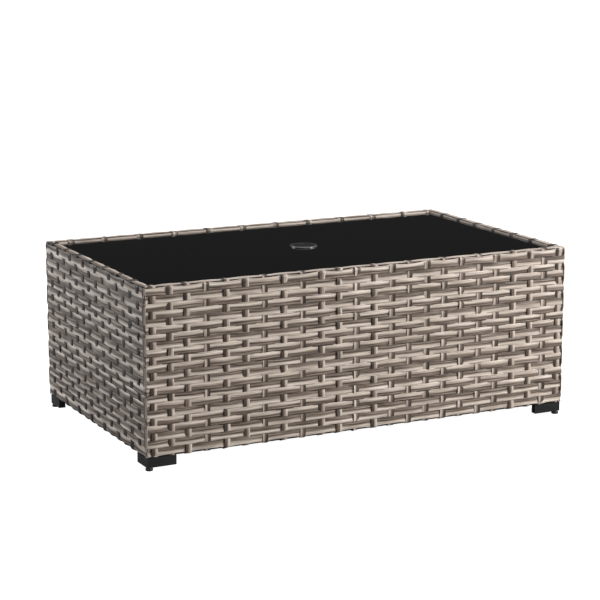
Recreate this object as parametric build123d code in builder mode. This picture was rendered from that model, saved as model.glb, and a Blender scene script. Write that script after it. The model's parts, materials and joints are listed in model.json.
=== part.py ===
"""Rectangular wicker coffee table with a lift-off glass top, in millimetres.

+Z is up, +X runs along the table's length and its front faces -Y.
The origin is on the floor, under the middle of the table.
A size called an inset is measured inwards from the wicker's outer face.
"""

import os

from build123d import *

# Overall size, over the wicker
length = 1080.0
width = 626.0
height = 410.0

# Levels above the floor
foot_bottom = 8.0
foot_height = 22.0
frame_bottom = foot_bottom + foot_height
weave_bottom = frame_bottom + 3.0

# Wicker: the woven skin, and the strand wrapped over the top rails
weave_thickness = 5.0
wrap_thickness = 2.0
corner_round = 6.0

# Steel frame
tube = 15.0
tube_wall = 1.2
tube_round = 1.5
top_rail_height = 25.0
bottom_rail_height = 20.0
frame_top = height - wrap_thickness
frame_inset = weave_thickness + tube
post_inset = weave_thickness + tube / 2

# Glass and what it rests on
glass_recess = 5.5
glass_thickness = 5.0
glass_gap = 2.0
glass_corner = 6.0
glass_arris = 0.8
pad_thickness = 2.0
pad_radius = 4.5
ledge_size = 15.0
ledge_wall = 1.5
bar_side = 20.0
bar_offset = 180.0
glass_top = height - glass_recess
ledge_top = glass_top - glass_thickness - pad_thickness

# Ring in the middle of the glass, and the cap that closes it
hole_radius = 25.75
flange_radius = 32.5
flange_thickness = 3.0
flange_round = 2.0
sleeve_radius = 25.0
sleeve_bore = 22.0
sleeve_length = 30.0
seat_radius = 26.6
seat_depth = 1.5
cap_radius = 26.2
cap_dome = 1.2
plug_radius = 21.7
plug_wall = 2.0
plug_length = 9.0
flange_top = glass_top + flange_thickness
seat_level = flange_top - seat_depth

# Corner feet: an L of two tubes, with plugs in its open ends
foot_width = 16.0
foot_inset = frame_inset - foot_width
foot_wall = 1.5
foot_long = 68.0
foot_short = 55.0
end_plug_thickness = 1.5
end_plug_depth = 8.0
end_plug_play = 0.2

# Glides, and the threaded inserts that hold them under the feet
insert_radius = 5.5
insert_bore = 4.05
insert_length = 12.0
insert_play = 0.1
insert_flange_radius = 7.0
insert_flange = 0.8
stem_radius = 4.0
stem_length = 16.0
glide_inset = foot_inset + foot_width / 2
glide_radius = 8.5
glide_thickness = 6.0
glide_round = 2.0

# Staples that hold the lower ends of the wicker's stakes
staple_width = 12.0
staple_wire = 1.0
staple_height = 2.4

# Stakes: the wicker's upright strands. The two gaps next to each corner are given, and the rest are even
stake_count = {"front": 24, "back": 24, "left": 14, "right": 14}
stake_edge = {"front": 20.5, "back": 20.5, "left": 40.0, "right": 40.0}
stake_end_gap = {"front": 39.5, "back": 39.5, "left": 42.0, "right": 42.0}

corners = {
    "front_left": (-1, -1),
    "front_right": (1, -1),
    "back_left": (-1, 1),
    "back_right": (1, 1),
}
sides = {
    "front": ("front_left", "front_right"),
    "back": ("back_left", "back_right"),
    "left": ("front_left", "back_left"),
    "right": ("front_right", "back_right"),
}
inwards = {"front": (0, 1, 0), "back": (0, -1, 0), "left": (1, 0, 0), "right": (-1, 0, 0)}


def save(piece, name):
    """Label a finished piece and write its STEP file."""
    piece.part.label = name
    export_step(piece.part, f"parts/{name}.step")


def side_length(side):
    """Length of a side over the wicker."""
    return length if side in ("front", "back") else width


def corner_point(corner, inset_x, inset_y):
    """A point in plan, at insets from one of the wicker's outer corners."""
    x, y = corners[corner]
    return x * (length / 2 - inset_x), y * (width / 2 - inset_y)


def side_plane(side, inset, z):
    """A section plane at the middle of a side: X points inwards and Y points up."""
    inward = Vector(inwards[side])
    outer_face = (length + width - side_length(side)) / 2
    origin = inward * (inset - outer_face) + Vector(0, 0, z)
    return Plane(origin=origin, x_dir=inward, z_dir=inward.cross(Vector(0, 0, 1)))


def make_tube(name, plane, across, high, run, both=False):
    """A rectangular steel tube with its section in the plane and its run along the normal."""
    inner_round = tube_round - tube_wall
    with BuildPart() as bar:
        with BuildSketch(plane):
            RectangleRounded(across, high, tube_round)
            RectangleRounded(across - 2 * tube_wall, high - 2 * tube_wall, inner_round, mode=Mode.SUBTRACT)
        extrude(amount=run, both=both)
    save(bar, name)


def make_rail(name, side, z_middle, high):
    """A rail between two corner posts."""
    half_run = side_length(side) / 2 - frame_inset
    make_tube(name, side_plane(side, post_inset, z_middle), tube, high, half_run, both=True)


def make_frame():
    """Corner posts, top and bottom rails, and a middle post on each long side."""
    for corner in corners:
        x, y = corner_point(corner, post_inset, post_inset)
        plane = Plane(origin=(x, y, frame_bottom))
        make_tube(f"corner_post_{corner}", plane, tube, tube, frame_top - frame_bottom)
    for side in sides:
        make_rail(f"top_rail_{side}", side, frame_top - top_rail_height / 2, top_rail_height)
        make_rail(f"bottom_rail_{side}", side, frame_bottom + bottom_rail_height / 2, bottom_rail_height)
    post_start = frame_bottom + bottom_rail_height
    post_run = frame_top - top_rail_height - post_start
    for side, y in (("front", post_inset - width / 2), ("back", width / 2 - post_inset)):
        make_tube(f"middle_post_{side}", Plane(origin=(0, y, post_start)), tube, tube, post_run)


def make_ledge(side):
    """An angle strip on the inner face of a top rail, with its flat flange on top."""
    half_run = side_length(side) / 2 - frame_inset
    if side in ("left", "right"):
        half_run = half_run - ledge_size
    with BuildPart() as ledge:
        with BuildSketch(side_plane(side, frame_inset, ledge_top)):
            with BuildLine():
                Polyline(
                    (0, 0),
                    (ledge_size, 0),
                    (ledge_size, -ledge_wall),
                    (ledge_wall, -ledge_wall),
                    (ledge_wall, -ledge_size),
                    (0, -ledge_size),
                    close=True,
                )
            make_face()
        extrude(amount=half_run, both=True)
    save(ledge, f"glass_ledge_{side}")


def make_cross_bars():
    """Two tubes from front to back under the glass, either side of the ring."""
    half_run = width / 2 - frame_inset - ledge_wall
    z_middle = ledge_top - ledge_wall - bar_side / 2
    for name, x in (("left", -bar_offset), ("right", bar_offset)):
        plane = Plane(origin=(x, 0, z_middle), x_dir=(1, 0, 0), z_dir=(0, -1, 0))
        make_tube(f"cross_bar_{name}", plane, bar_side, bar_side, half_run, both=True)


def make_glass_pads():
    """Round pads on the ledges, and taller ones on the lower cross bars."""
    pad_inset = frame_inset + ledge_size - pad_radius - 1
    pad_x = length / 2 - pad_inset
    pad_y = width / 2 - pad_inset
    long_step = length * 0.39
    on_ledge = [(x, y) for x in (-long_step, 0, long_step) for y in (-pad_y, pad_y)]
    on_ledge += [(x, y) for x in (-pad_x, pad_x) for y in (-width / 4, width / 4)]
    on_bar = [(x, y) for x in (-bar_offset, bar_offset) for y in (-width / 4, width / 4)]
    with BuildPart() as pads:
        with BuildSketch(Plane.XY.offset(ledge_top)):
            with Locations(*on_ledge):
                Circle(pad_radius)
        extrude(amount=pad_thickness)
        with BuildSketch(Plane.XY.offset(ledge_top - ledge_wall)):
            with Locations(*on_bar):
                Circle(pad_radius)
        extrude(amount=pad_thickness + ledge_wall)
    save(pads, "glass_pads")


def side_wedge(side):
    """The part of the plan that belongs to one side, cut at 45 degrees at its corners."""
    first, second = sides[side]
    depth = 2 * frame_inset
    with BuildSketch(Plane.XY, mode=Mode.PRIVATE) as wedge:
        with BuildLine():
            Polyline(
                corner_point(first, 0, 0),
                corner_point(second, 0, 0),
                corner_point(second, depth, depth),
                corner_point(first, depth, depth),
                close=True,
            )
        make_face()
    return wedge.sketch


def make_weave(side):
    """The woven skin of one side, as a closed sheet as thick as the weave."""
    with BuildPart() as weave:
        with BuildSketch(Plane.XY.offset(weave_bottom)):
            RectangleRounded(length, width, corner_round)
            Rectangle(length - 2 * weave_thickness, width - 2 * weave_thickness, mode=Mode.SUBTRACT)
            add(side_wedge(side), mode=Mode.INTERSECT)
        extrude(amount=frame_top - weave_bottom)
    save(weave, f"weave_{side}")


def make_rim(side):
    """The strand wrapped over one top rail: a flat top, and a skirt inside down to the ledge."""
    inner = frame_inset + wrap_thickness
    with BuildPart() as rim:
        with BuildSketch(Plane.XY.offset(frame_top)):
            RectangleRounded(length, width, corner_round)
            Rectangle(length - 2 * inner, width - 2 * inner, mode=Mode.SUBTRACT)
            add(side_wedge(side), mode=Mode.INTERSECT)
        extrude(amount=wrap_thickness)
        with BuildSketch(Plane.XY.offset(ledge_top)):
            Rectangle(length - 2 * frame_inset, width - 2 * frame_inset)
            Rectangle(length - 2 * inner, width - 2 * inner, mode=Mode.SUBTRACT)
            add(side_wedge(side), mode=Mode.INTERSECT)
        extrude(amount=frame_top - ledge_top)
    save(rim, f"rim_wrap_{side}")


def stake_places(side):
    """Distances of a side's stakes from its middle, from one corner to the other."""
    first = side_length(side) / 2 - stake_edge[side]
    second = first - stake_end_gap[side]
    third = second - stake_end_gap[side]
    even_gaps = stake_count[side] - 5
    step = 2 * third / even_gaps
    between = [index * step - third for index in range(even_gaps + 1)]
    return [-first, -second, *between, second, first]


def make_staples():
    """U-shaped staples across the stakes' lower ends, inside the bottom rails and clear of the feet."""
    leg_length = staple_height - staple_wire
    gap = staple_width - 2 * staple_wire
    up = Vector(0, 0, 1)
    with BuildPart() as staples:
        with BuildSketch(Plane.XY.offset(frame_bottom + bottom_rail_height / 2)):
            for side in sides:
                inward = Vector(inwards[side])
                along = inward.cross(up)
                outer_face = (length + width - side_length(side)) / 2
                middle = inward * (frame_inset - outer_face)
                leg = foot_long if side in ("front", "back") else foot_short
                reach = side_length(side) / 2 - foot_inset - leg - staple_width
                places = [place for place in stake_places(side) if abs(place) < reach]
                spots = [Plane(middle + along * place, x_dir=along, z_dir=up) for place in places]
                with Locations(*spots):
                    with Locations((0, staple_height / 2)):
                        Rectangle(staple_width, staple_height)
                    with Locations((0, leg_length / 2)):
                        Rectangle(gap, leg_length, mode=Mode.SUBTRACT)
        extrude(amount=staple_wire / 2, both=True)
    save(staples, "stake_staples")


def make_glass():
    """The glass top, with rounded corners, ground edges and a round hole in its middle."""
    inset = frame_inset + wrap_thickness + glass_gap
    with BuildPart() as glass:
        with BuildSketch(Plane.XY.offset(glass_top - glass_thickness)):
            RectangleRounded(length - 2 * inset, width - 2 * inset, glass_corner)
            Circle(hole_radius, mode=Mode.SUBTRACT)
        extrude(amount=glass_thickness)
        levels = glass.edges().group_by(Axis.Z)
        chamfer(levels[0] + levels[-1], glass_arris)
    save(glass, "glass_top")


def make_ring():
    """The flanged sleeve in the glass, with a soft outer lip and a sunk seat for the cap."""
    with BuildPart() as ring:
        with BuildSketch(Plane.XY.offset(glass_top)):
            Circle(flange_radius)
        extrude(amount=flange_thickness)
        fillet(ring.edges().group_by(Axis.Z)[-1], flange_round)
        with BuildSketch(Plane.XY.offset(glass_top)):
            Circle(sleeve_radius)
        extrude(amount=flange_thickness - sleeve_length)
        with BuildSketch(Plane.XY.offset(flange_top)):
            Circle(seat_radius)
        extrude(amount=-seat_depth, mode=Mode.SUBTRACT)
        with BuildSketch(Plane.XY.offset(seat_level)):
            Circle(sleeve_bore)
        extrude(amount=-sleeve_length, mode=Mode.SUBTRACT)
    save(ring, "hole_ring")


def make_cap():
    """The cap: a low dome on a flat flange, over a hollow plug."""
    dome_radius = (cap_radius**2 + cap_dome**2) / (2 * cap_dome)
    with BuildPart() as cap:
        with BuildSketch(Plane.XZ):
            with BuildLine():
                flange = Polyline((0, seat_level), (cap_radius, seat_level), (cap_radius, flange_top))
                dome = RadiusArc(flange @ 1, (0, flange_top + cap_dome), -dome_radius)
                Line(dome @ 1, flange @ 0)
            make_face()
        revolve(axis=Axis.Z)
        with BuildSketch(Plane.XY.offset(seat_level)):
            Circle(plug_radius)
            Circle(plug_radius - plug_wall, mode=Mode.SUBTRACT)
        extrude(amount=-plug_length)
    save(cap, "hole_cap")


def foot_plan(corner, wall, overrun):
    """Plan of a foot, an L with its longer leg along X, drawn inside a wall and past its open ends."""
    outer = foot_inset + wall
    inner = foot_inset + foot_width - wall
    long_end = foot_inset + foot_long + overrun
    short_end = foot_inset + foot_short + overrun
    with BuildSketch(Plane.XY, mode=Mode.PRIVATE) as plan:
        with BuildLine():
            Polyline(
                corner_point(corner, outer, outer),
                corner_point(corner, long_end, outer),
                corner_point(corner, long_end, inner),
                corner_point(corner, inner, inner),
                corner_point(corner, inner, short_end),
                corner_point(corner, outer, short_end),
                close=True,
            )
        make_face()
    return plan.sketch


def make_foot(corner):
    """A corner foot: two tubes joined as an L, with a hole in its underside for the insert."""
    with BuildPart() as foot:
        with BuildSketch(Plane.XY.offset(foot_bottom)):
            add(foot_plan(corner, 0, 0))
        extrude(amount=foot_height)
        with BuildSketch(Plane.XY.offset(foot_bottom + foot_wall)):
            add(foot_plan(corner, foot_wall, 1))
        extrude(amount=foot_height - 2 * foot_wall, mode=Mode.SUBTRACT)
        with BuildSketch(Plane.XY.offset(foot_bottom)):
            with Locations(corner_point(corner, glide_inset, glide_inset)):
                Circle(insert_radius + insert_play)
        extrude(amount=foot_wall, mode=Mode.SUBTRACT)
    save(foot, f"foot_{corner}")


def make_foot_plugs():
    """Rectangular plugs in the open ends of the feet."""
    z_middle = foot_bottom + foot_height / 2
    smaller = 2 * foot_wall + 2 * end_plug_play
    with BuildPart() as plugs:
        for corner, (x, y) in corners.items():
            long_end = corner_point(corner, foot_inset + foot_long, glide_inset)
            short_end = corner_point(corner, glide_inset, foot_inset + foot_short)
            ends = ((long_end, (0, 1, 0), (-x, 0, 0)), (short_end, (1, 0, 0), (0, -y, 0)))
            for (end_x, end_y), across, away in ends:
                plane = Plane(origin=(end_x, end_y, z_middle), x_dir=across, z_dir=away)
                with BuildSketch(plane):
                    Rectangle(foot_width, foot_height)
                extrude(amount=end_plug_thickness)
                with BuildSketch(plane):
                    Rectangle(foot_width - smaller, foot_height - smaller)
                extrude(amount=-end_plug_depth)
    save(plugs, "foot_plugs")


def make_inserts():
    """Flanged threaded inserts in the undersides of the feet."""
    places = [corner_point(corner, glide_inset, glide_inset) for corner in corners]
    with BuildPart() as inserts:
        with BuildSketch(Plane.XY.offset(foot_bottom)):
            with Locations(*places):
                Circle(insert_flange_radius)
        extrude(amount=-insert_flange)
        with BuildSketch(Plane.XY.offset(foot_bottom)):
            with Locations(*places):
                Circle(insert_radius)
        extrude(amount=insert_length)
        with BuildSketch(Plane.XY.offset(foot_bottom - insert_flange)):
            with Locations(*places):
                Circle(insert_bore)
        extrude(amount=insert_length + insert_flange, mode=Mode.SUBTRACT)
    save(inserts, "glide_inserts")


def make_glide(corner):
    """A glide: a round base on a stem that turns in its insert."""
    place = corner_point(corner, glide_inset, glide_inset)
    with BuildPart() as glide:
        with BuildSketch(Plane.XY):
            with Locations(place):
                Circle(glide_radius)
        extrude(amount=glide_thickness)
        fillet(glide.edges().group_by(Axis.Z)[-1], glide_round)
        chamfer(glide.edges().group_by(Axis.Z)[0], glide_round / 2)
        with BuildSketch(Plane.XY.offset(glide_thickness)):
            with Locations(place):
                Circle(stem_radius)
        extrude(amount=stem_length)
    save(glide, f"glide_{corner}")


os.makedirs("parts", exist_ok=True)
make_frame()
make_cross_bars()
make_glass_pads()
make_staples()
make_glass()
make_ring()
make_cap()
make_foot_plugs()
make_inserts()
for side in sides:
    make_ledge(side)
    make_weave(side)
    make_rim(side)
for corner in corners:
    make_foot(corner)
    make_glide(corner)
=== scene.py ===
"""Looks of a rectangular wicker coffee table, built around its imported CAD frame.

Lengths are in metres, +Z is up and the table's front faces -Y. Wefts are strands that run round the table
in level rings. Stakes stand upright and pass in front of the wefts and behind them in turn. A strand lies
along each side of the rim, and every other stake crosses over it to the inside.
A depth is measured inwards from the wicker's outer face.
"""

import json
import math

import bpy
import numpy as np
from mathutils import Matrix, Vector


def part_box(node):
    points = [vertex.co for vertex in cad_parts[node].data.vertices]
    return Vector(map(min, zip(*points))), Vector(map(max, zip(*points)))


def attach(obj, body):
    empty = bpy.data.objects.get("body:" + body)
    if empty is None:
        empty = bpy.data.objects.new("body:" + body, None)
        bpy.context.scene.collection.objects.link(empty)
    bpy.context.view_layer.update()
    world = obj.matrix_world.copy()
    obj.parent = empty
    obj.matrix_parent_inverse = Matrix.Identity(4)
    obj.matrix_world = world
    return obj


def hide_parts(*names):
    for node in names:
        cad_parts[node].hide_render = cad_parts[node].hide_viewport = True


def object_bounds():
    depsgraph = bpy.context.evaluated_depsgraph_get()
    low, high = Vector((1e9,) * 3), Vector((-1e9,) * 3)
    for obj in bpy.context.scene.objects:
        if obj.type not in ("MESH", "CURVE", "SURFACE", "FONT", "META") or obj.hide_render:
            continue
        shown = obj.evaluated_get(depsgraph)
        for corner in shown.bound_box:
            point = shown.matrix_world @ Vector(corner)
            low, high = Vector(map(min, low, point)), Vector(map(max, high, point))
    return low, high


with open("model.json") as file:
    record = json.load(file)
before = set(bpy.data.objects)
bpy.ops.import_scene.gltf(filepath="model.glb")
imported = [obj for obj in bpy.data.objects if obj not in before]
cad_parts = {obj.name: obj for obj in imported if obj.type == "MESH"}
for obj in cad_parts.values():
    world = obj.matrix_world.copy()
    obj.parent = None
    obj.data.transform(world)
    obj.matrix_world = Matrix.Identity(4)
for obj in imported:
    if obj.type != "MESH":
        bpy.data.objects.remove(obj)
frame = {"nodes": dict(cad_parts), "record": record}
cad_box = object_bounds()
rng = np.random.default_rng(17)

mm = 0.001
up = np.array((0.0, 0.0, 1.0))

# Levels and half sizes of the frame that the wicker covers
half_x, half_y = cad_box[1].x, cad_box[1].y
weave_low, weave_high = (corner.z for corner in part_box("weave_front"))
rail_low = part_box("bottom_rail_front")[0].z
rail_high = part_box("top_rail_front")[1].z
rail_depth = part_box("top_rail_front")[1].y + half_y
ledge_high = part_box("glass_ledge_front")[1].z
foot_length = {
    "front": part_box("foot_front_left")[1].x + half_x,
    "left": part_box("foot_front_left")[1].y + half_y,
}

# Sides in the order that a weft passes them, from the front left corner
sides = ("front", "right", "back", "left")
quarter = math.pi / 2

# Weave. Here and below, wide and thick are half sizes
weft_rows = 22
weft_low = weave_low + 1.7 * mm
weft_high = weave_high - 2.0 * mm
weft_pitch = (weft_high - weft_low) / weft_rows
weave_depth = 2.1 * mm
weave_corner = 4.4 * mm
weft_swing = 1.1 * mm
weft_thick = 0.95 * mm
weft_height_wander = 0.24 * mm
weft_tilt_wander = math.radians(5.0)
weft_wide_wander = 0.15 * mm
stake_swing = 0.9 * mm
stake_thick = 0.7 * mm
stake_wide = 8.2 * mm
stake_sway = 0.30 * mm
stake_tilt_wander = math.radians(4.0)
stake_tilt_spread = math.radians(3.0)
stake_wide_wander = 0.12 * mm

# A weft's half widths, at these swings from -1 behind a stake to 1 in front of one
weft_wide_swings = (-1, -0.4, 1)
weft_wide = (11.0 * mm, 9.2 * mm, 8.7 * mm)

# Each side's stakes, the outer ones' distance from the corner, and the two gaps next to them.
# The front's stakes are shifted by these amounts at these stakes, the first being 0, and evenly in between.
# The other sides' stakes are scattered
stake_count = {"front": 24, "right": 14, "back": 24, "left": 14}
stake_edge = {"front": 20.5 * mm, "right": 40 * mm, "back": 20.5 * mm, "left": 40 * mm}
stake_end_gap = {"front": 39.5 * mm, "right": 42 * mm, "back": 39.5 * mm, "left": 42 * mm}
front_shift_stakes = (0, 2, 9, 12, 15, 20)
front_shifts = (0, 1.5 * mm, 4.2 * mm, 0, -2 * mm, 0)
stake_scatter = 1.5 * mm

# The part of the stripes that a strand shows on each side, from one edge to the other. On the left side the
# stakes keep to the darkest stripes, which is painted shade, and the wefts keep to a narrower middle part of
# the stripes, a painted stand-in for the flatter, greyer light on that side
weft_tones = {"front": (0.0, 1.0), "right": (0.0, 1.0), "back": (0.0, 1.0), "left": (0.10, 0.78)}
stake_tones = {"front": (0.12, 1.0), "right": (0.0, 0.60), "back": (0.1, 0.95), "left": (0.22, 0.0)}

# Strands that lie the other way round, narrow stakes, and stakes that go from pale to dark across.
# Wefts are numbered from the top, and stakes round the table from the front left corner, both from 1
turned_wefts = {
    "front": {2, 5, 8, 12, 13, 15, 17, 20, 21, 22},
    "right": {1, 4, 6, 9, 10, 14, 16, 19, 21},
    "back": {2, 3, 7, 8, 11, 13, 17, 18, 22},
    "left": {1, 3, 4, 6, 7, 10, 11, 13, 17, 18, 19, 20, 21},
}
turned_stakes = {4, 7, 9, 12, 14, 15, 16, 17, 18, 19, 20, 23, 29, 33, 41, 46, 47, 53, 58}
narrow_stakes = {4, 7, 9, 15, 31, 44, 59}
two_tone_stakes = {65, 66, 68, 71, 72, 73, 74}
narrow_wide = 6.8 * mm
# two_tones gives these left stakes a real two-tone look, but it also keeps them to the darker half of the
# stripes as painted shade, like the left side's other stakes
two_tones = (0.58, 0.0)

# Stripes across a strand from one edge to the other, as (place, lightness)
weft_stripes = [
    (0.0, 0.14),
    (0.12, 0.30),
    (0.24, 0.45),
    (0.33, 0.36),
    (0.41, 0.16),
    (0.52, 0.60),
    (0.70, 1.0),
    (1.0, 0.76),
]
stake_stripes = [
    (0.1, 0.0),
    (0.25, 0.14),
    (0.35, 0.28),
    (0.45, 0.22),
    (0.58, 0.46),
    (0.72, 0.84),
    (0.88, 1.0),
    (1.0, 0.80),
]

# What is added to the lightness of the wefts and of the stakes
weft_lift = 0.06
stake_lift = -0.01

# Distances between the sections that a strand is swept through, and the sections in a corner's bend
station_step = 5.6 * mm
stake_step = 3.0 * mm
rim_step = 4 * mm
lining_step = 8 * mm
bend_stations = 6

# Rim strand, the lining inside it, and the thin strands down the corners
rim_depth = 10.6 * mm
rim_wide = (6.4 * mm, 8.3 * mm)
rim_thick = (0.7 * mm, 1.1 * mm)
rim_rise = (0.9 * mm, 1.3 * mm)
rim_depth_wander = 0.3 * mm
rim_past_end = 5 * mm
mitre_fade = 15 * mm
rim_tones = {"front": (0.48, 1.0), "right": (0.48, 1.0), "back": (0.48, 1.0), "left": (0.85, 0.2)}
lining_wide = 5.0 * mm
lining_thick = 0.6 * mm
lining_depth = rail_depth + 0.7 * mm
lining_depth_wander = 0.05 * mm
lining_level_wander = 0.12 * mm
lining_tones = {"front": (0.0, 0.38), "right": (0.2, 0.7), "back": (0.45, 0.95), "left": (0.0, 0.38)}
corner_wide = 4.2 * mm
corner_thick = 0.8 * mm
corner_turn = math.radians(40)
corner_back = 0.8 * mm
corner_sway = 0.45 * mm
corner_wide_wander = 0.25 * mm
corner_tones = (0.30, 1.0)
corner_tuck_every = 4
corner_tuck_first = 2

# How far the floor reaches each way, how far in under the table it is kept white, and where that fades
floor_reach = 30.0
floor_edge = 150 * mm
floor_fade = 20 * mm

# The point that the softboxes face
softbox_target = (0, 0, 0.25)


def half_length(side):
    """Half the length of a side over the wicker."""
    return half_x if side in ("front", "back") else half_y


def half_distance(side):
    """Distance of a side's outer face from the table's middle."""
    return half_y if side in ("front", "back") else half_x


def side_axes(side):
    """Unit vectors along a side, in the wefts' direction, and outwards from it."""
    turn = sides.index(side) * quarter
    along = np.array((math.cos(turn), math.sin(turn), 0.0))
    return along, np.cross(along, up)


def stake_places(side):
    """Distances of a side's stakes from its middle."""
    first = half_length(side) - stake_edge[side]
    second = first - stake_end_gap[side]
    third = second - stake_end_gap[side]
    between = np.linspace(-third, third, stake_count[side] - 4)
    return np.concatenate(([-first, -second], between, [second, first]))


def wander(distance, total, size):
    """A gentle random wave along a strand, made of a few whole waves over the total length."""
    value = np.zeros(len(distance))
    waves, longest, shortest = 5, 0.5, 0.08
    for _ in range(waves):
        count = rng.integers(total / longest, total / shortest + 2)
        value += np.sin(2 * math.pi * (count * distance / total + rng.uniform()))
    return value * size / waves**0.5


def smooth_line(points, step):
    """A smooth curve through points, sampled about every step."""
    points = np.array(points, float)
    chords = np.linalg.norm(np.diff(points, axis=0), axis=1)[:, None]
    slopes = np.diff(points, axis=0) / chords
    bends = (slopes[:-1] * chords[1:] + slopes[1:] * chords[:-1]) / (chords[:-1] + chords[1:])
    tangents = np.vstack((slopes[:1], bends, slopes[-1:]))
    spans = []
    for index, chord in enumerate(chords[:, 0]):
        t = np.linspace(0, 1, max(2, math.ceil(chord / step)), endpoint=False)[:, None]
        leaving = (2 * t**3 - 3 * t**2 + 1) * points[index]
        leaving = leaving + (t**3 - 2 * t**2 + t) * chord * tangents[index]
        arriving = (3 * t**2 - 2 * t**3) * points[index + 1]
        arriving = arriving + (t**3 - t**2) * chord * tangents[index + 1]
        spans.append(leaving + arriving)
    return np.vstack((*spans, points[-1:]))


def unit(vectors):
    """Vectors scaled to length 1."""
    return vectors / np.linalg.norm(vectors, axis=-1, keepdims=True)


class Strands:
    """Swept strands that become one mesh, with u along each strand in metres and v across it."""

    section = 14
    edge_roundness = 0.7
    face_roundness = 0.4
    furthest_start = 50

    def __init__(self):
        self.points = []
        self.loops = []
        self.sizes = []
        self.uvs = []
        self.total = 0
        angle = (np.arange(self.section) + 0.5) * 2 * math.pi / self.section
        self.across = np.sign(np.cos(angle)) * np.abs(np.cos(angle)) ** self.edge_roundness
        self.out = np.sign(np.sin(angle)) * np.abs(np.sin(angle)) ** self.face_roundness

    def add(self, centres, across, out, wide, thick, tones=(0.0, 1.0), closed=False):
        """Sweep a flat section with rounded edges along centres.

        wide and thick are half sizes, one for each centre. tones says which part of the stripes the strand
        shows, from its edge against across to its edge along it. The stripes' dark half is 0 to 0.5, and the
        pale one 0.5 to 1.
        """
        count = len(centres)
        wide = np.broadcast_to(wide, count)[:, None, None]
        thick = np.broadcast_to(thick, count)[:, None, None]
        rings = centres[:, None] + across[:, None] * self.across[:, None] * wide
        rings = rings + out[:, None] * self.out[:, None] * thick
        self.points.append(rings.reshape(-1, 3))

        spans = count if closed else count - 1
        here = np.arange(spans)[:, None] * self.section
        ahead = (np.arange(spans)[:, None] + 1) % count * self.section
        side = np.arange(self.section)[None]
        beside = (side + 1) % self.section
        quads = np.stack((here + side, here + beside, ahead + beside, ahead + side), axis=-1)
        travel = centres[1] - centres[0]
        turned = np.dot(np.cross(across[0], out[0]), travel) < 0
        self.take(quads, turned)

        steps = np.linalg.norm(np.roll(centres, -1, axis=0) - centres, axis=1)[:spans]
        u = rng.uniform(0, self.furthest_start) + np.concatenate(([0.0], np.cumsum(steps)))
        low, high = (np.broadcast_to(tone, count)[:, None] for tone in tones)
        v = low + (high - low) * (1 + self.across) / 2
        near, far = v[:spans], np.roll(v, -1, axis=0)[:spans]
        u_near, u_far = u[:-1, None] + 0 * side, u[1:, None] + 0 * side
        us = np.stack((u_near, u_near, u_far, u_far), axis=-1)
        vs = np.stack((near, near[:, beside[0]], far[:, beside[0]], far), axis=-1)
        self.give(us, vs, turned)

        if not closed:
            for ring, u_end, backwards in ((0, u[0], not turned), (count - 1, u[-1], turned)):
                self.take((ring * self.section + side)[None], backwards)
                self.give((u_end + 0 * side)[None], v[ring][None, None], backwards)
        self.total += count * self.section

    def take(self, faces, turned):
        """Keep faces, turned round where their corners run the wrong way."""
        faces = faces[..., ::-1] if turned else faces
        self.loops.append((faces + self.total).reshape(-1))
        self.sizes.append(np.full(faces.size // faces.shape[-1], faces.shape[-1]))

    def give(self, us, vs, turned):
        """Keep the texture places of those faces' corners, in the same order."""
        step = -1 if turned else 1
        self.uvs.append(np.stack((us[..., ::step], vs[..., ::step]), axis=-1).reshape(-1, 2))

    def build(self, name, material):
        """Make the mesh object."""
        points = np.concatenate(self.points)
        loops = np.concatenate(self.loops)
        sizes = np.concatenate(self.sizes)
        mesh = bpy.data.meshes.new(name)
        mesh.vertices.add(len(points))
        mesh.vertices.foreach_set("co", points.astype(np.float32).reshape(-1))
        mesh.loops.add(len(loops))
        mesh.loops.foreach_set("vertex_index", loops.astype(np.int32))
        mesh.polygons.add(len(sizes))
        starts = np.concatenate(([0], np.cumsum(sizes)[:-1]))
        mesh.polygons.foreach_set("loop_start", starts.astype(np.int32))
        mesh.polygons.foreach_set("use_smooth", np.ones(len(sizes), bool))
        layer = mesh.uv_layers.new(name="strand")
        layer.data.foreach_set("uv", np.concatenate(self.uvs).astype(np.float32).reshape(-1))
        mesh.update(calc_edges=True)
        mesh.validate()
        mesh.materials.append(material)
        piece = bpy.data.objects.new(name, mesh)
        bpy.context.scene.collection.objects.link(piece)
        return piece


# ------------------------------------------------------------------ materials


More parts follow.
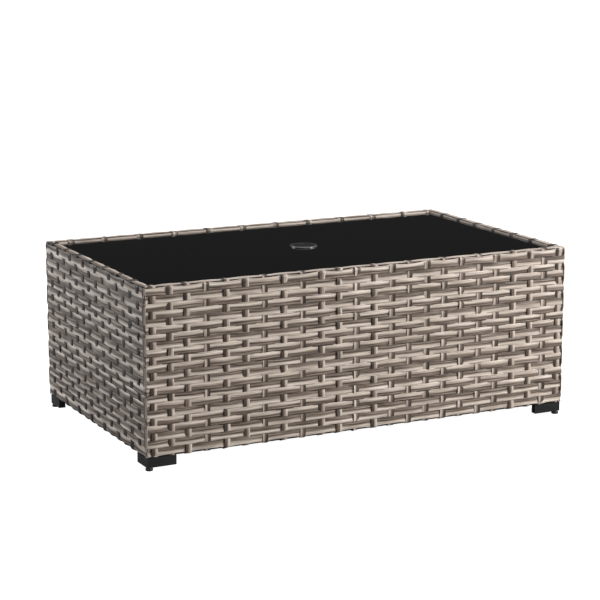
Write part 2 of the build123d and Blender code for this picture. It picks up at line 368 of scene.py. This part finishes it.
class Surface:
    """A material's node tree, with short calls for the nodes used here."""

    def __init__(self, name):
        self.material = bpy.data.materials.new(name)
        self.material.use_nodes = True
        self.tree = self.material.node_tree
        self.shader = self.tree.nodes["Principled BSDF"]

    def node(self, kind, **values):
        """Add a node and set its properties, or link or set its inputs."""
        made = self.tree.nodes.new(kind)
        for key, value in values.items():
            if hasattr(made, key):
                setattr(made, key, value)
            else:
                self.plug(made, key.replace("_", " "), value)
        return made

    def plug(self, node, key, value):
        """Link or set one input of a node."""
        socket = node.inputs[key]
        if isinstance(value, bpy.types.NodeSocket):
            self.tree.links.new(value, socket)
        else:
            socket.default_value = value

    def math(self, operation, first, second=0.0):
        """A Math node's result."""
        made = self.node("ShaderNodeMath", operation=operation)
        self.plug(made, 0, first)
        self.plug(made, 1, second)
        return made.outputs[0]

    def place(self):
        """Position on the object, in metres."""
        return self.node("ShaderNodeTexCoord").outputs["Object"]

    def noise(self, vector, scale, detail=2.0, roughness=0.5):
        """A noise texture's value."""
        made = self.node("ShaderNodeTexNoise", Vector=vector, Scale=scale, Detail=detail, Roughness=roughness)
        return made.outputs["Fac"]

    def ramp(self, value, stops):
        """A colour ramp. stops are (position, colour)."""
        made = self.node("ShaderNodeValToRGB", Fac=value)
        points = made.color_ramp.elements
        while len(points) < len(stops):
            points.new(0.5)
        for point, (position, colour) in zip(points, stops):
            point.position = position
            point.color = (*colour, 1.0) if isinstance(colour, tuple) else (colour, colour, colour, 1.0)
        return made.outputs["Color"]

    def spread(self, value, low, high):
        """A value from 0 to 1, spread from low to high."""
        made = self.node("ShaderNodeMapRange", Value=value, To_Min=low, To_Max=high)
        return made.outputs["Result"]

    def bump(self, height, distance, strength=1.0):
        """Raise the surface by a height from 0 to 1 times a distance in metres."""
        made = self.node("ShaderNodeBump", Height=height, Distance=distance, Strength=strength)
        self.plug(self.shader, "Normal", made.outputs["Normal"])

    def set(self, **values):
        """Set or link the shader's own inputs."""
        for key, value in values.items():
            self.plug(self.shader, key.replace("_", " "), value)
        return self.material


def wicker_material(name, stops, lift):
    """Flat plastic strand: cream and taupe stripes along its length, with fine dark streaks.

    stops are the stripes across it, as (place, lightness), and lift lightens all of it.
    """
    s = Surface(name)
    uv = s.node("ShaderNodeUVMap", uv_map="strand").outputs["UV"]
    parts = s.node("ShaderNodeSeparateXYZ", Vector=uv)
    along, across = parts.outputs["X"], parts.outputs["Y"]

    def drift(per_metre, size):
        where = s.node("ShaderNodeCombineXYZ", X=s.math("MULTIPLY", along, per_metre))
        return s.math("MULTIPLY", s.math("SUBTRACT", s.noise(where.outputs[0], 1.0), 0.5), size)

    inner = s.math("MULTIPLY", across, s.math("SUBTRACT", 1.0, across))
    shift = s.math("ADD", drift(per_metre=6.0, size=1.1), drift(per_metre=0.4, size=1.1))
    wavy = s.math("ADD", across, s.math("MULTIPLY", inner, shift))

    def streaks(per_metre, per_width, detail):
        where = s.node(
            "ShaderNodeCombineXYZ",
            X=s.math("MULTIPLY", along, per_metre),
            Y=s.math("MULTIPLY", wavy, per_width),
        )
        return s.noise(where.outputs[0], 1.0, detail=detail, roughness=0.62)

    broad = streaks(per_metre=5.0, per_width=3.6, detail=2.0)
    fine = streaks(per_metre=16.0, per_width=9.5, detail=3.0)
    stripes = s.ramp(wavy, stops)
    stripe_share, broad_share, fine_share = 0.70, 0.75, 0.95
    tone = s.math("MULTIPLY", stripes, stripe_share)
    tone = s.math("ADD", tone, s.math("MULTIPLY", s.math("SUBTRACT", broad, 0.5), broad_share))
    tone = s.math("ADD", tone, s.math("MULTIPLY", s.math("SUBTRACT", fine, 0.5), fine_share))
    tone = s.math("ADD", tone, lift)
    colour = s.ramp(
        tone,
        [
            (0.0, (0.010, 0.006, 0.004)),
            (0.22, (0.076, 0.054, 0.040)),
            (0.45, (0.236, 0.188, 0.154)),
            (0.70, (0.500, 0.430, 0.374)),
            (1.0, (0.800, 0.730, 0.666)),
        ],
    )
    s.bump(s.math("ADD", s.math("MULTIPLY", stripes, 0.4), fine), 0.25 * mm, 0.7)
    return s.set(Base_Color=colour, Roughness=s.spread(fine, 0.38, 0.56), Specular_IOR_Level=0.42)


def powder_coat_material():
    """Black powder coat: a slight orange peel, and faint lighter patches."""
    s = Surface("black_powder_coat")
    place = s.place()
    peel = s.noise(place, 700.0, detail=2.0)
    patches = s.noise(place, 18.0, detail=4.0)
    colour = s.ramp(patches, [(0.3, (0.0085, 0.0085, 0.009)), (0.75, (0.017, 0.017, 0.018))])
    s.bump(peel, 0.12 * mm, 0.6)
    return s.set(Base_Color=colour, Roughness=s.spread(patches, 0.40, 0.56), Specular_IOR_Level=0.25)


def glass_material():
    """Tempered glass with a black back, and a few faint smudges."""
    s = Surface("black_glass")
    place = s.place()
    smudges = s.noise(place, 7.0, detail=5.0, roughness=0.6)
    colour = s.ramp(smudges, [(0.35, (0.0095, 0.0095, 0.0098)), (0.8, (0.0120, 0.0120, 0.0122))])
    return s.set(
        Base_Color=colour,
        Roughness=s.spread(s.noise(place, 23.0, detail=4.0), 0.03, 0.10),
        Specular_IOR_Level=0.22,
    )


def ring_material():
    """Dark grey metal-filled plastic, turned in fine rings."""
    s = Surface("dark_satin_ring")
    place = s.place()
    rings = s.node(
        "ShaderNodeTexWave",
        wave_type="RINGS",
        rings_direction="Z",
        Vector=place,
        Scale=420.0,
        Distortion=0.6,
        Detail=1.0,
    ).outputs["Fac"]
    grain = s.noise(place, 260.0, detail=3.0)
    colour = s.ramp(grain, [(0.3, (0.090, 0.090, 0.093)), (0.75, (0.130, 0.130, 0.134))])
    s.bump(rings, 0.05 * mm, 0.35)
    return s.set(Base_Color=colour, Roughness=s.spread(grain, 0.12, 0.24), Metallic=0.45)


def moulded_material():
    """Black moulded plastic with a fine grain."""
    s = Surface("black_moulded_plastic")
    place = s.place()
    grain = s.noise(place, 520.0, detail=3.0)
    patches = s.noise(place, 60.0, detail=3.0)
    colour = s.ramp(patches, [(0.3, (0.010, 0.010, 0.0105)), (0.8, (0.021, 0.021, 0.022))])
    s.bump(grain, 0.10 * mm, 0.7)
    return s.set(Base_Color=colour, Roughness=s.spread(grain, 0.48, 0.66))


def pad_material():
    """Clear soft plastic, slightly cloudy."""
    s = Surface("clear_pad")
    cloud = s.noise(s.place(), 300.0, detail=3.0)
    colour = s.ramp(cloud, [(0.3, (0.70, 0.73, 0.73)), (0.8, (0.84, 0.86, 0.86))])
    s.bump(cloud, 0.08 * mm, 0.4)
    return s.set(Base_Color=colour, Roughness=s.spread(cloud, 0.30, 0.46), Transmission_Weight=0.6, IOR=1.43)


def plated_material(name, light, dark, smooth, rough):
    """Bright plated steel with faint stains."""
    s = Surface(name)
    place = s.place()
    stains = s.noise(place, 240.0, detail=4.0, roughness=0.6)
    colour = s.ramp(stains, [(0.3, dark), (0.7, light)])
    s.bump(s.noise(place, 1500.0, detail=2.0), 0.03 * mm, 0.5)
    return s.set(Base_Color=colour, Roughness=s.spread(stains, smooth, rough), Metallic=1.0)


def floor_material():
    """Pale seamless floor, kept white in the picture except under the middle of the table."""
    s = Surface("pale_floor")
    shade = s.noise(s.place(), 1.5, detail=2.0)
    colour = s.ramp(shade, [(0.3, (0.39, 0.39, 0.39)), (0.7, (0.41, 0.41, 0.41))])
    split = s.node("ShaderNodeSeparateXYZ", Vector=s.place())
    beyond_x = s.math("SUBTRACT", s.math("ABSOLUTE", split.outputs["X"]), half_x - floor_edge)
    beyond_y = s.math("SUBTRACT", s.math("ABSOLUTE", split.outputs["Y"]), half_y - floor_edge)
    beyond = s.math("DIVIDE", s.math("MAXIMUM", beyond_x, beyond_y), floor_fade)
    beyond = s.node("ShaderNodeClamp", Value=beyond).outputs["Result"]
    glow = s.math("MULTIPLY", beyond, s.node("ShaderNodeLightPath").outputs["Is Camera Ray"])
    return s.set(
        Base_Color=colour,
        Roughness=0.9,
        Specular_IOR_Level=0.1,
        Emission_Color=(1.0, 1.0, 1.0, 1.0),
        Emission_Strength=glow,
    )


# ------------------------------------------------------------------ the wefts' ring


def ring_starts():
    """Where each side's straight stretch starts, how long it is, and how long the whole ring is."""
    starts, lengths, distance = [], [], 0.0
    for side in sides:
        straight = 2 * (half_length(side) - weave_depth - weave_corner)
        starts.append(distance)
        lengths.append(straight)
        distance += straight + weave_corner * quarter
    return starts, lengths, distance


starts, straights, ring_total = ring_starts()


def ring_stations():
    """Distances round the ring at which wefts have a section: even on the sides and closer in the corners."""
    stations = []
    for start, straight in zip(starts, straights):
        count = round(straight / station_step)
        stations.append(start + np.linspace(0, straight, count, endpoint=False))
        bend = np.linspace(0, weave_corner * quarter, bend_stations, endpoint=False)
        stations.append(start + straight + bend)
    return np.concatenate(stations)


def ring_points(distance):
    """Points of the ring in plan, and outward directions there."""
    points = np.zeros((len(distance), 3))
    outward = np.zeros((len(distance), 3))
    for side, start, straight in zip(sides, starts, straights):
        along, out = side_axes(side)
        depth = half_distance(side) - weave_depth
        run = (distance - start)[:, None]
        on_side = (run[:, 0] >= 0) & (run[:, 0] <= straight)
        points[on_side] = out * depth + along * (run[on_side] - straight / 2)
        outward[on_side] = out
        angle = (run - straight) / weave_corner
        on_corner = (angle[:, 0] > 0) & (angle[:, 0] < quarter)
        bend = np.cos(angle[on_corner]) * out + np.sin(angle[on_corner]) * along
        points[on_corner] = out * (depth - weave_corner) + along * straight / 2 + weave_corner * bend
        outward[on_corner] = bend
    return points, outward


def stake_shift(side):
    """How far each stake of a side stands from its even place."""
    count = stake_count[side]
    if side == "front":
        return np.interp(np.arange(count), front_shift_stakes, front_shifts)
    return rng.uniform(-stake_scatter, stake_scatter, count)


stake_spots = {side: stake_places(side) + stake_shift(side) for side in sides}
stake_distance = np.concatenate(
    [start + straight / 2 + stake_spots[side] for side, start, straight in zip(sides, starts, straights)]
)


def swing_round(distance, row):
    """How far out a weft swings, from -1 behind a stake to 1 in front of one."""
    last, first = stake_distance[-1:] - ring_total, stake_distance[:1] + ring_total
    padded = np.concatenate((last, stake_distance, first))
    before = np.searchsorted(padded, distance, side="right") - 1
    part = (distance - padded[before]) / (padded[before + 1] - padded[before])
    in_front = np.where((before + row) % 2 == 0, 1.0, -1.0)
    return in_front * np.cos(math.pi * part)


def row_height(row):
    """Level of a weft's centre line. Row 1 is the top one."""
    return weft_high - (row - 0.5) * weft_pitch


def add_weft(strands, row, distance):
    """One weft: a closed ring that swings out over the stakes it covers and in behind the others."""
    points, outward = ring_points(distance)
    swing = swing_round(distance, row)
    height = row_height(row) + wander(distance, ring_total, weft_height_wander)
    tilt = wander(distance, ring_total, weft_tilt_wander)[:, None]
    centres = points + outward * (swing * weft_swing)[:, None] + up * height[:, None]
    across = up * np.cos(tilt) - outward * np.sin(tilt)
    out = outward * np.cos(tilt) + up * np.sin(tilt)
    wide = np.interp(swing, weft_wide_swings, weft_wide)
    wide = wide + wander(distance, ring_total, weft_wide_wander)
    part = (distance - starts[0]) / ring_total
    middles = (np.array(starts) + np.array(straights) + weave_corner * quarter / 2) / ring_total
    tones = np.array([weft_tones[side][:: -1 if row in turned_wefts[side] else 1] for side in sides])
    tones = tones[np.searchsorted(middles, part) % len(sides)].T
    strands.add(centres, across, out, wide, weft_thick, tones, closed=True)


def make_wefts(material):
    """All wefts, in three pieces from the top down."""
    distance = ring_stations()
    groups = {
        "wefts_upper": range(1, 9),
        "wefts_middle": range(9, 16),
        "wefts_lower": range(16, weft_rows + 1),
    }
    pieces = []
    for name, rows in groups.items():
        strands = Strands()
        for row in rows:
            add_weft(strands, row, distance)
        pieces.append(strands.build(name, material))
    return pieces


# ------------------------------------------------------------------ stakes


def stake_foot(over_foot):
    """Lower end of a stake, as (depth, height): from a foot, or from inside the bottom rail and under it."""
    if over_foot:
        return [(weave_depth + 0.6 * mm, rail_low + 0.8 * mm)]
    inside = rail_depth + 0.75 * mm
    below = rail_low - 0.9 * mm
    return [
        (inside, rail_low + 19 * mm),
        (inside, rail_low + 4 * mm),
        (rail_depth - 0.8 * mm, below),
        (rail_depth - 5 * mm, below),
        (weave_depth + 5 * mm, below),
        (weave_depth + 1.4 * mm, rail_low + 0.9 * mm),
    ]


def stake_head(crosses):
    """Upper end of a stake, as (depth, height): over the rim strand and down inside it, or under it."""
    if not crosses:
        return [
            (weave_depth - 1.3 * mm, rail_high - 2.7 * mm),
            (weave_depth + 1.2 * mm, rail_high),
            (weave_depth + 5 * mm, rail_high + 0.3 * mm),
            (weave_depth + 11 * mm, rail_high + 0.3 * mm),
        ]
    inside = lining_depth + lining_thick + stake_thick
    return [
        (weave_depth - 0.2 * mm, rail_high - 2.6 * mm),
        (weave_depth - 1.6 * mm, rail_high - 0.4 * mm),
        (weave_depth + 0.4 * mm, rail_high + 1.2 * mm),
        (weave_depth + 4 * mm, rail_high + 1.6 * mm),
        (rim_depth, rail_high + 1.7 * mm),
        (rail_depth - 3 * mm, rail_high + 1.6 * mm),
        (rail_depth + 0.9 * mm, rail_high + 0.8 * mm),
        (inside, rail_high - 1.8 * mm),
        (inside, ledge_high + 0.6 * mm),
    ]


def add_stake(strands, side, index, number):
    """One stake. number counts stakes round the whole table, and odd ones cross the rim."""
    along, out = side_axes(side)
    spot = stake_spots[side][index]
    reach = foot_length["front" if side in ("front", "back") else "left"]
    from_corner = half_length(side) - abs(spot)
    line = stake_foot(from_corner < reach + stake_wide)
    for row in range(weft_rows, 0, -1):
        in_front = (number + row) % 2 == 1
        line.append((weave_depth - (stake_swing if in_front else -stake_swing), row_height(row)))
    line += stake_head(number % 2 == 1)

    depth, height = smooth_line(line, stake_step).T
    distance = np.arange(len(depth)) * stake_step
    total = len(depth) * stake_step
    sway = wander(distance, total, stake_sway)
    centres = out * (half_distance(side) - depth)[:, None] + along * (spot + sway)[:, None]
    centres = centres + up * height[:, None]
    travel = unit(np.gradient(centres - along * sway[:, None], axis=0))
    normal = unit(np.cross(along, travel))
    tilt = wander(distance, total, stake_tilt_wander)[:, None] + rng.normal(0, stake_tilt_spread)
    across = along * np.cos(tilt) - normal * np.sin(tilt)
    face = normal * np.cos(tilt) + along * np.sin(tilt)
    wide = narrow_wide if number in narrow_stakes else stake_wide
    wide = wide + wander(distance, total, stake_wide_wander)
    tones = stake_tones[side][::-1] if number in turned_stakes else stake_tones[side]
    if number in two_tone_stakes:
        tones = two_tones
    strands.add(centres, across, face, wide, stake_thick, tones)


def make_stakes(material):
    """The stakes, one piece for each side."""
    pieces = {}
    number = 0
    for side in sides:
        strands = Strands()
        for index in range(stake_count[side]):
            number += 1
            add_stake(strands, side, index, number)
        pieces[side] = strands.build(f"stakes_{side}", material)
    return pieces


# ------------------------------------------------------------------ rim and corners


def add_rim_strand(strands, side, first_number):
    """The strand along one side of the rim: raised over a stake's end, pinched where a stake crosses it."""
    along, out = side_axes(side)
    half = half_length(side)
    stations = np.linspace(-half, half, round(2 * half / rim_step) + 1)
    spots = np.concatenate(([-half - rim_past_end], stake_spots[side], [half + rim_past_end]))
    before = np.clip(np.searchsorted(spots, stations, side="right") - 1, 0, len(spots) - 2)
    part = (stations - spots[before]) / (spots[before + 1] - spots[before])
    number = first_number - 1 + before
    raised = np.where(number % 2 == 0, 1.0, -1.0) * np.cos(math.pi * part)
    share = (raised + 1) / 2
    wide = rim_wide[0] + share * (rim_wide[1] - rim_wide[0])
    thick = rim_thick[0] + share * (rim_thick[1] - rim_thick[0])
    rise = rim_rise[0] + share * (rim_rise[1] - rim_rise[0])
    depth = rim_depth + wander(stations + half, 2 * half, rim_depth_wander)
    skew_start = np.exp(-(stations + half) / mitre_fade)
    skew_end = np.exp(-(half - stations) / mitre_fade)

    centres = out * (half_distance(side) - depth)[:, None] + up * (rail_high + rise)[:, None]
    centres = centres + along * (stations + depth * (skew_start - skew_end))[:, None]
    across = out - along * (skew_start - skew_end)[:, None]
    strands.add(centres, across, np.broadcast_to(up, across.shape), wide, thick, rim_tones[side])


def add_lining(strands, side):
    """The strand on the inner face of a top rail, under the stakes that cross the rim."""
    along, out = side_axes(side)
    half = half_length(side) - rail_depth - lining_thick
    stations = np.linspace(-half, half, round(2 * half / lining_step) + 1)
    depth = lining_depth + wander(stations + half, 2 * half, lining_depth_wander)
    level = rail_high - lining_wide + wander(stations + half, 2 * half, lining_level_wander)
    centres = out * (half_distance(side) - depth)[:, None] + along * stations[:, None] + up * level[:, None]
    across = np.broadcast_to(up, centres.shape)
    face = np.broadcast_to(-out, centres.shape)
    strands.add(centres, across, face, lining_wide, lining_thick, lining_tones[side])


def make_rim(material):
    """The rim strands, cut at 45 degrees where they meet, and their linings, as a piece for each side."""
    pieces = {}
    number = 1
    for side in sides:
        strands = Strands()
        add_rim_strand(strands, side, number)
        add_lining(strands, side)
        pieces[side] = strands.build(f"rim_strand_{side}", material)
        number += stake_count[side]
    return pieces


def make_corner_strands(material):
    """A thin upright strand down each corner, over the wefts but for every fourth row."""
    strands = Strands()
    for side in sides:
        along, out = side_axes(side)
        diagonal = out * math.cos(corner_turn) + along * math.sin(corner_turn)
        sideways = along * math.cos(corner_turn) - out * math.sin(corner_turn)
        middle = out * (half_distance(side) - weave_depth - weave_corner)
        middle = middle + along * (half_length(side) - weave_depth - weave_corner - corner_back)
        over = weave_corner + weft_thick + corner_thick
        under = weave_corner - weft_thick - corner_thick
        line = [(over - 0.6 * mm, rail_low + 1.5 * mm)]
        for row in range(weft_rows, 0, -1):
            tucked = row % corner_tuck_every == corner_tuck_first
            line.append((under if tucked else over, row_height(row)))
        line.append((over - 1.0 * mm, rail_high - 1.0 * mm))
        radius, height = smooth_line(line, stake_step).T
        distance = np.arange(len(radius)) * stake_step
        total = len(radius) * stake_step
        sway = wander(distance, total, corner_sway)
        centres = middle + diagonal * radius[:, None] + sideways * sway[:, None] + up * height[:, None]
        across = np.broadcast_to(sideways, centres.shape)
        travel = unit(np.gradient(centres, axis=0))
        normal = unit(np.cross(across, travel))
        normal = normal * np.sign(normal @ diagonal)[:, None]
        wide = corner_wide + wander(distance, total, corner_wide_wander)
        strands.add(centres, across, normal, wide, corner_thick, corner_tones)
    return strands.build("corner_strands", material)


# ------------------------------------------------------------------ setting


def make_floor():
    """A plain floor that fills the picture."""
    mesh = bpy.data.meshes.new("floor")
    corners = [(x * floor_reach, y * floor_reach, 0) for x, y in ((-1, -1), (1, -1), (1, 1), (-1, 1))]
    mesh.from_pydata(corners, [], [(0, 1, 2, 3)])
    mesh.materials.append(floor_material())
    floor = bpy.data.objects.new("floor", mesh)
    bpy.context.scene.collection.objects.link(floor)


def add_softbox(name, place, size, power, colour, receivers):
    """A square area light that faces the table and lights what its receivers allow."""
    data = bpy.data.lights.new(name, "AREA")
    data.shape = "SQUARE"
    data.size = size
    data.energy = power
    data.color = colour
    light = bpy.data.objects.new(name, data)
    light.location = place
    facing = Vector(softbox_target) - Vector(place)
    light.rotation_euler = facing.to_track_quat("-Z", "Y").to_euler()
    light.light_linking.receiver_collection = receivers
    bpy.context.scene.collection.objects.link(light)


def make_world():
    """White to the camera, soft grey light on the table, and a dark low band in reflections."""
    backdrop = (1.0, 1.0, 1.0, 1)
    soft_light = (0.150, 0.157, 0.168, 1)
    low_place, low_mirrored = 0.30, (0.036, 0.036, 0.036, 1)
    high_place, high_mirrored = 0.62, (0.75, 0.75, 0.75, 1)
    world = bpy.data.worlds.new("studio")
    bpy.context.scene.world = world
    world.use_nodes = True
    tree = world.node_tree
    nodes, links = tree.nodes, tree.links
    background = nodes["Background"]
    path = nodes.new("ShaderNodeLightPath")
    place = nodes.new("ShaderNodeTexCoord")
    split = nodes.new("ShaderNodeSeparateXYZ")
    links.new(place.outputs["Generated"], split.inputs[0])
    band = nodes.new("ShaderNodeValToRGB")
    links.new(split.outputs["Z"], band.inputs[0])
    stops = band.color_ramp.elements
    stops[0].position, stops[0].color = low_place, low_mirrored
    stops[1].position, stops[1].color = high_place, high_mirrored
    glossy = nodes.new("ShaderNodeMix")
    glossy.data_type = "RGBA"
    links.new(path.outputs["Is Glossy Ray"], glossy.inputs["Factor"])
    glossy.inputs["A"].default_value = soft_light
    links.new(band.outputs[0], glossy.inputs["B"])
    seen = nodes.new("ShaderNodeMix")
    seen.data_type = "RGBA"
    links.new(path.outputs["Is Camera Ray"], seen.inputs["Factor"])
    links.new(glossy.outputs["Result"], seen.inputs["A"])
    seen.inputs["B"].default_value = backdrop
    links.new(seen.outputs["Result"], background.inputs["Color"])


def make_camera():
    """The camera: a long lens, looking slightly down from the left of the front."""
    yaw, pitch = math.radians(26.645), math.radians(11.92)
    distance, shift_left, shift_up = 4.679, 0.0086, 0.0518
    lens, sensor = 116.5, 36.0
    middle = Vector((0, 0, (rail_low + cad_box[1].z) / 2))
    forward = Vector((math.sin(yaw) * math.cos(pitch), math.cos(yaw) * math.cos(pitch), -math.sin(pitch)))
    right = Vector((math.cos(yaw), -math.sin(yaw), 0))
    above = right.cross(forward)
    data = bpy.data.cameras.new("camera")
    data.lens = lens
    data.sensor_width = sensor
    data.clip_end = 200.0
    camera = bpy.data.objects.new("camera", data)
    camera.location = middle - forward * distance - right * shift_left + above * shift_up
    camera.rotation_euler = forward.to_track_quat("-Z", "Y").to_euler()
    bpy.context.scene.collection.objects.link(camera)
    bpy.context.scene.camera = camera


def make_lights():
    """A warm softbox in front and to the right, a weak one at the back left and one overhead.

    They light all but the glass and the cap, which would mirror them as white patches from some sides.
    """
    receivers = bpy.data.collections.new("softbox_receivers")
    for node in ("glass_top", "hole_cap"):
        receivers.objects.link(frame["nodes"][node])
    for receiver in receivers.collection_objects:
        receiver.light_linking.link_state = "EXCLUDE"
    add_softbox("key", (3.2, -2.6, 2.1), 1.6, 290.0, (1.0, 0.978, 0.945), receivers)
    add_softbox("fill", (-3.1, 2.2, 1.6), 1.8, 110.0, (0.93, 0.968, 1.0), receivers)
    add_softbox("overhead", (0.2, 0.2, 3.2), 2.4, 30.0, (1.0, 1.0, 1.0), receivers)


def finish_cad_nodes():
    """Give every CAD node that stays on show its own material."""
    materials = {
        "frame": powder_coat_material(),
        "glass": glass_material(),
        "ring": ring_material(),
        "pad": pad_material(),
        "foot_plastic": moulded_material(),
        "insert": plated_material(
            "zinc_insert", light=(0.66, 0.63, 0.55), dark=(0.46, 0.44, 0.40), smooth=0.28, rough=0.46
        ),
        "staple": plated_material(
            "staple_wire", light=(0.70, 0.70, 0.69), dark=(0.50, 0.50, 0.50), smooth=0.20, rough=0.36
        ),
    }
    for part in frame["record"]["subparts"]:
        material = materials.get(part["material_slot"])
        if material is None:
            continue
        for slot in frame["nodes"][part["node"]].material_slots:
            slot.material = material


def make_wicker():
    """The strands, which stand for the plain weave and rim sheets of the frame."""
    wefts_like = wicker_material("wicker_weft", weft_stripes, weft_lift)
    stakes_like = wicker_material("wicker_stake", stake_stripes, stake_lift)
    wefts = make_wefts(wefts_like)
    stakes = make_stakes(stakes_like)
    rims = make_rim(wefts_like)
    corners = make_corner_strands(wefts_like)
    for piece in (*wefts, *stakes.values(), *rims.values(), corners):
        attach(piece, "table")
    for side in sides:
        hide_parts(f"weave_{side}")
        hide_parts(f"rim_wrap_{side}")


bpy.context.scene.view_settings.view_transform = "Standard"
finish_cad_nodes()
make_wicker()
make_floor()
make_world()
make_lights()
make_camera()
